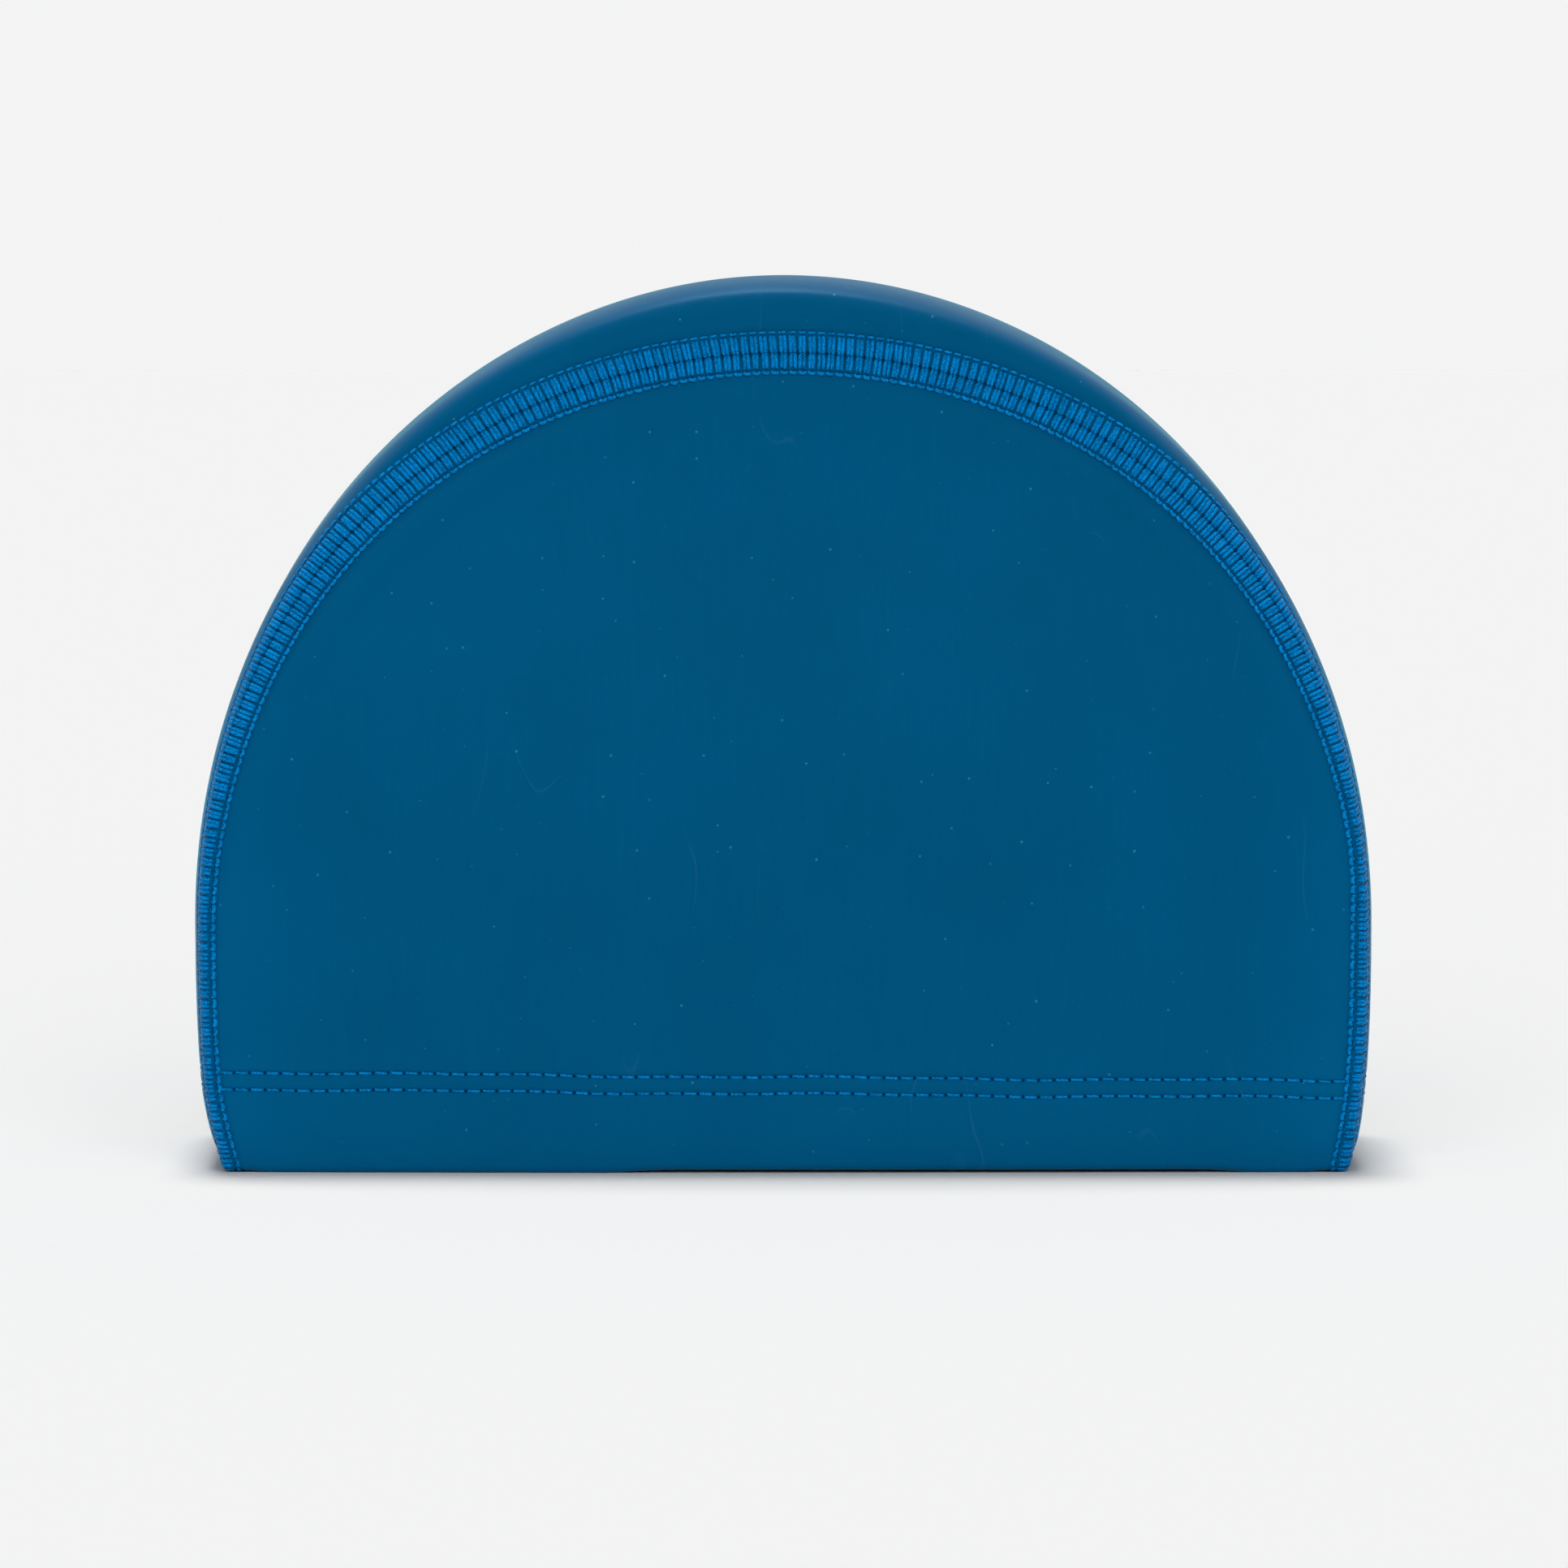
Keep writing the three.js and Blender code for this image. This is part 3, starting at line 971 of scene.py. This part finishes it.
class Finish:
    """A material and its nodes"""

    def __init__(self, name):
        self.material = bpy.data.materials.new(name)
        self.material.use_nodes = True
        self.tree = self.material.node_tree
        self.tree.nodes.clear()

    def node(self, kind, settings=None, inputs=None, output=0):
        made = self.tree.nodes.new(kind)
        for name, value in (settings or {}).items():
            setattr(made, name, value)
        for name, value in (inputs or {}).items():
            if isinstance(value, Value):
                self.tree.links.new(value.socket, made.inputs[name])
            else:
                made.inputs[name].default_value = value
        return Value(self, made.outputs[output]) if made.outputs else None

    def place(self):
        """Place on the piece, in metres"""
        return self.node("ShaderNodeTexCoord", output="Object")

    def flat_place(self):
        """Place on the piece's flat map"""
        return self.node("ShaderNodeTexCoord", output="UV")

    def axes(self, place):
        return [self.node("ShaderNodeSeparateXYZ", inputs={0: place}, output=k) for k in range(3)]

    def stretched(self, place, scale):
        return self.node(
            "ShaderNodeVectorMath", {"operation": "MULTIPLY"}, {0: place, 1: scale}
        )

    def clouds(self, place, scale, detail=2.0, roughness=0.5):
        inputs = {"Vector": place, "Scale": scale, "Detail": detail, "Roughness": roughness}
        return self.node("ShaderNodeTexNoise", inputs=inputs)

    def blend(self, share, first, second):
        """A colour between two colours"""
        settings = {"data_type": "RGBA", "blend_type": "MIX"}
        return self.node("ShaderNodeMix", settings, {0: share, 6: first, 7: second}, output=2)

    def bump(self, height, distance, before=None):
        inputs = {"Height": height, "Distance": distance, "Strength": 1.0}
        if before is not None:
            inputs["Normal"] = before
        return self.node("ShaderNodeBump", inputs=inputs)

    def done(self, **sockets):
        inputs = {name.replace("_", " "): value for name, value in sockets.items()}
        surface = self.node("ShaderNodeBsdfPrincipled", inputs=inputs)
        self.node("ShaderNodeOutputMaterial", inputs={"Surface": surface})
        return self.material


def paint(colour, gain=1.0):
    return tuple(min(1.0, part * gain) for part in colour) + (1.0,)


def coated_knit(cloth, thread):
    """Smooth satin coating over a fine knit, faintly clouded, with a few pale specks, and painted
    light that makes it lighter near the floor and towards the front and back ends
    """
    made = bpy.data.materials.get("Coated knit")
    if made:
        return made
    finish = Finish("Coated knit")
    place = finish.place()
    flat = finish.flat_place()
    across, up, _ = finish.axes(flat)

    clouding = finish.clouds(place, 26.0, 3.0)
    streaks = finish.clouds(finish.stretched(flat, (900.0, 60.0, 1.0)), 1.0, 3.0, 0.6)
    colour = finish.blend(
        (clouding * 0.7 + streaks * 0.3).between(0.3, 0.7),
        paint(cloth.colour, 0.94),
        paint(cloth.colour, 1.06),
    )
    speck_near = finish.node(
        "ShaderNodeTexVoronoi", {"voronoi_dimensions": "2D"},
        {"Vector": flat, "Scale": 95.0}, output="Distance",
    )
    speck_size = finish.clouds(place, 160.0, 0.0).between(0.35, 0.75)
    specks = 1 - (speck_near - speck_size * 0.016).between(0.003, 0.014)
    colour = finish.blend(specks * 0.3, colour, (0.12, 0.42, 0.55, 1.0))
    along, _, level = finish.axes(place)
    # Painted light: the coating is made lighter near the floor, to cancel the shade that falls
    # there, and a little lighter towards the front and back ends.
    painted_floor_fill = 1 - level.between(-30 * MM, 30 * MM)
    painted_end_light = along.size().between(80 * MM, 112 * MM)
    colour = finish.blend(painted_floor_fill + painted_end_light * 0.35, colour, paint(cloth.colour, 1.45))
    ridge = (finish.clouds(finish.stretched(place, (1.0, 1.0, 0.35)), 60.0, 1.0) - 0.5).size()
    rubbed = (1 - ridge.between(0.0, 0.006)) * finish.clouds(place, 34.0).between(0.56, 0.66)
    colour = finish.blend(rubbed * 0.07, colour, (0.10, 0.30, 0.42, 1.0))

    wales = (across * (2 * math.pi / (0.42 * MM))).sine()
    courses = (up * (2 * math.pi / (0.36 * MM))).sine()
    pebble = finish.clouds(place, 1400.0, 2.0)
    slack = finish.clouds(place, 75.0, 3.0)
    normal = finish.bump(wales * courses * 0.25 + pebble, 0.006 * MM)
    normal = finish.bump(slack, 0.10 * MM, normal)
    roughness = 0.42 + 0.12 * finish.clouds(place, 48.0, 3.0) - specks * 0.1
    return finish.done(
        Base_Color=colour,
        Roughness=roughness,
        Normal=normal,
        Specular_IOR_Level=0.2,
        Specular_Tint=(0.0, 0.6, 1.0, 1.0),
        Sheen_Weight=0.3,
        Sheen_Roughness=0.25,
        Sheen_Tint=(0.12, 0.95, 1.0, 1.0),
    )


def knit_inside(cloth):
    """The knit's own face, inside the cap"""
    made = bpy.data.materials.get("Knit inside")
    if made:
        return made
    finish = Finish("Knit inside")
    place = finish.place()
    across, up, _ = finish.axes(finish.flat_place())
    wales = (across * (math.pi / (0.42 * MM))).sine().size()
    courses = (up * (2 * math.pi / (0.36 * MM)) + 1.4 * wales).sine()
    loops = wales * 0.7 + courses * 0.3
    clouding = finish.clouds(place, 55.0, 3.0)
    colour = finish.blend(
        (loops * 0.5 + clouding * 0.6).between(0.1, 0.9),
        paint(cloth.colour, 0.72),
        paint(cloth.colour, 1.15),
    )
    normal = finish.bump(loops, 0.05 * MM)
    return finish.done(
        Base_Color=colour,
        Roughness=0.78 + 0.14 * clouding,
        Normal=normal,
        Specular_IOR_Level=0.2,
        Sheen_Weight=0.3,
        Sheen_Roughness=0.4,
        Sheen_Tint=(0.6, 0.8, 1.0, 1.0),
    )


def seam_thread(thread):
    """Soft filament thread: fine filaments along it, each stitch its own random tone, and painted
    shade that darkens the threads which lie deep in the seam and hem
    """
    made = bpy.data.materials.get("Seam thread")
    if made:
        return made
    finish = Finish("Seam thread")
    around, along, _ = finish.axes(finish.flat_place())
    shade = finish.node("ShaderNodeAttribute", {"attribute_name": "shade"}, output="Fac")
    depth = finish.node("ShaderNodeAttribute", {"attribute_name": "depth"}, output="Fac")
    lines = finish.stretched(finish.flat_place(), (9.0, 1.1, 1.0))
    filaments = finish.clouds(lines, 1.0, 3.0, 0.65)
    fuzz = finish.clouds(finish.place(), 3600.0, 2.0)
    ply = ((around * 2 + along * 0.55) * (2 * math.pi)).sine()
    light = filaments * 0.5 + fuzz * 0.9 + shade * 0.04 + ply * 0.02
    colour = finish.blend(
        light.between(0.50, 0.90), paint(thread.colour, 0.52), paint(thread.colour, 1.5)
    )
    # Painted shade: threads marked as lying in shade are darkened towards a near black blue by
    # their depth mark.
    colour = finish.blend(depth * 0.92, colour, (0.0, 0.014, 0.06, 1.0))
    normal = finish.bump(ply * 0.25 + filaments + fuzz * 0.5, 0.05 * MM)
    return finish.done(
        Base_Color=colour,
        Roughness=0.5 + 0.2 * filaments,
        Normal=normal,
        Specular_IOR_Level=0.08,
        Specular_Tint=(0.0, 0.6, 1.0, 1.0),
        Sheen_Weight=0.12,
        Sheen_Roughness=0.3,
        Sheen_Tint=(0.0, 0.7, 1.0, 1.0),
    )


def pale_floor():
    finish = Finish("Pale floor")
    place = finish.place()
    grain = finish.clouds(place, 300.0, 2.0)
    colour = finish.blend(grain, (0.893, 0.893, 0.894, 1.0), (0.905, 0.905, 0.906, 1.0))
    x, y, _ = finish.axes(place)
    # Painted light: the floor beside the cap is tinted warm, to cancel the blue light that the cap
    # throws back onto it.
    painted_bounce_cancel = (1 - y.size().between(0.03, 0.13)) * (1 - x.size().between(0.06, 0.2))
    colour = finish.blend(painted_bounce_cancel, colour, (0.915, 0.9, 0.865, 1.0))
    return finish.done(Base_Color=colour, Roughness=0.9, Specular_IOR_Level=0.0)


def pale_backdrop():
    finish = Finish("Pale backdrop")
    glow = finish.node(
        "ShaderNodeEmission", inputs={"Color": (0.9, 0.9, 0.905, 1.0), "Strength": 1.0}
    )
    finish.node("ShaderNodeOutputMaterial", inputs={"Surface": glow})
    return finish.material


# Stage


def soft_sun(name, strength, angle, rotation):
    deselect_all()
    bpy.ops.object.light_add(type="SUN", rotation=rotation)
    lamp = bpy.context.object
    lamp.name = name
    lamp.data.energy = strength
    lamp.data.angle = math.radians(angle)
    return lamp


def studio_world(brightness):
    world = bpy.data.worlds.new("Studio")
    bpy.context.scene.world = world
    world.use_nodes = True
    background = world.node_tree.nodes["Background"]
    background.inputs["Color"].default_value = (1, 1, 1, 1)
    background.inputs["Strength"].default_value = brightness


def place_camera(stage):
    deselect_all()
    back = stage.distance * math.cos(stage.elevation)
    height = stage.target_height + stage.distance * math.sin(stage.elevation)
    bpy.ops.object.camera_add(
        location=(0.0002, -back, height), rotation=(QUARTER - stage.elevation, 0, 0)
    )
    camera = bpy.context.object
    camera.name = "View"
    camera.data.sensor_width = 36
    camera.data.lens = 36 * stage.distance / stage.frame_width
    camera.data.clip_start = 0.01
    camera.data.clip_end = 100
    bpy.context.scene.camera = camera


def half_beyond(side):
    """Keeps the half of the piece on one side of the cap's middle plane"""
    return lambda: bpy.ops.mesh.bisect(
        plane_co=(0, 0, 0), plane_no=(0, -side, 0), clear_outer=True
    )


def floor_and_backdrop():
    deselect_all()
    bpy.ops.mesh.primitive_circle_add(vertices=96, radius=BACKDROP_RADIUS, fill_type="TRIFAN")
    floor = bpy.context.object
    floor.name = "floor"
    floor.data.materials.append(pale_floor())
    glow = pale_backdrop()
    for name, side in (("backdrop_near", NEAR), ("backdrop_far", FAR)):
        deselect_all()
        bpy.ops.mesh.primitive_uv_sphere_add(segments=96, ring_count=48, radius=BACKDROP_RADIUS)
        half = bpy.context.object
        half.name = name
        edit(half, half_beyond(side))
        half.data.materials.append(glow)
        half.visible_diffuse = False
        half.visible_glossy = side == FAR
        half.visible_shadow = False


# Operators


class SwimCapSidePanels(bpy.types.Operator):
    """Models the near and far side panels"""

    bl_idname = "swim_cap.side_panels"
    bl_label = "Side panels"

    def execute(self, context):
        scene = context.scene
        shell = Shell(scene.swim_cap_form)
        for side in (NEAR, FAR):
            side_panel(side, shell, scene.swim_cap_cloth, scene.swim_cap_thread)
        return {"FINISHED"}


class SwimCapCentrePanel(bpy.types.Operator):
    """Models the panel from the front hem over the crown to the back hem"""

    bl_idname = "swim_cap.centre_panel"
    bl_label = "Centre panel"

    def execute(self, context):
        scene = context.scene
        centre_panel(Shell(scene.swim_cap_form), scene.swim_cap_cloth, scene.swim_cap_thread)
        return {"FINISHED"}


class SwimCapSeams(bpy.types.Operator):
    """Models the threads of both flat seams, outside and inside"""

    bl_idname = "swim_cap.seams"
    bl_label = "Seams"

    def execute(self, context):
        scene = context.scene
        shell = Shell(scene.swim_cap_form)
        for side in (NEAR, FAR):
            seam_threads(side, shell, scene.swim_cap_cloth, scene.swim_cap_thread)
        return {"FINISHED"}


class SwimCapHemStitches(bpy.types.Operator):
    """Models the hem's needle lines and the cover threads inside it"""

    bl_idname = "swim_cap.hem_stitches"
    bl_label = "Hem stitches"

    def execute(self, context):
        scene = context.scene
        shell = Shell(scene.swim_cap_form)
        for panel, label in ((NEAR, "near"), (FAR, "far"), ("front", "front"), ("back", "back")):
            hem_threads(panel, label, shell, scene.swim_cap_cloth, scene.swim_cap_thread)
        return {"FINISHED"}


class SwimCapSetStage(bpy.types.Operator):
    """Sets the pale floor, the soft light and the camera"""

    bl_idname = "swim_cap.set_stage"
    bl_label = "Stage"

    def execute(self, context):
        scene = context.scene
        scene.view_settings.view_transform = "Standard"
        scene.view_settings.look = "None"
        floor_and_backdrop()
        studio_world(0.15)
        soft_sun("top_light", 2.0, 18.0, (math.radians(-9), math.radians(-2), 0))
        soft_sun("front_light", 1.2, 60.0, (math.radians(55), 0, 0))
        place_camera(scene.swim_cap_stage)
        return {"FINISHED"}


class SwimCapPanel(bpy.types.Panel):
    """Lists the cap's pieces and their sizes"""

    bl_label = "Swim Cap"
    bl_idname = "VIEW3D_PT_swim_cap"
    bl_space_type = "VIEW_3D"
    bl_region_type = "UI"
    bl_category = "Swim Cap"

    def draw(self, context):
        for operator in OPERATORS:
            self.layout.operator(operator.bl_idname)
        for name, group in GROUPS.items():
            box = self.layout.box()
            settings = getattr(context.scene, name)
            for size in group.__annotations__:
                box.prop(settings, size)


GROUPS = {
    "swim_cap_form": SwimCapForm,
    "swim_cap_cloth": SwimCapCloth,
    "swim_cap_thread": SwimCapThread,
    "swim_cap_stage": SwimCapStage,
}
OPERATORS = (
    SwimCapSidePanels,
    SwimCapCentrePanel,
    SwimCapSeams,
    SwimCapHemStitches,
    SwimCapSetStage,
)
CLASSES = tuple(GROUPS.values()) + OPERATORS + (SwimCapPanel,)


def register():
    for item in CLASSES:
        bpy.utils.register_class(item)
    for name, group in GROUPS.items():
        setattr(bpy.types.Scene, name, bpy.props.PointerProperty(type=group))


def unregister():
    for name in GROUPS:
        delattr(bpy.types.Scene, name)
    for item in reversed(CLASSES):
        bpy.utils.unregister_class(item)


def main():
    register()
    bpy.ops.swim_cap.side_panels()
    bpy.ops.swim_cap.centre_panel()
    bpy.ops.swim_cap.seams()
    bpy.ops.swim_cap.hem_stitches()
    bpy.ops.swim_cap.set_stage()


if __name__ == "__main__":
    main()
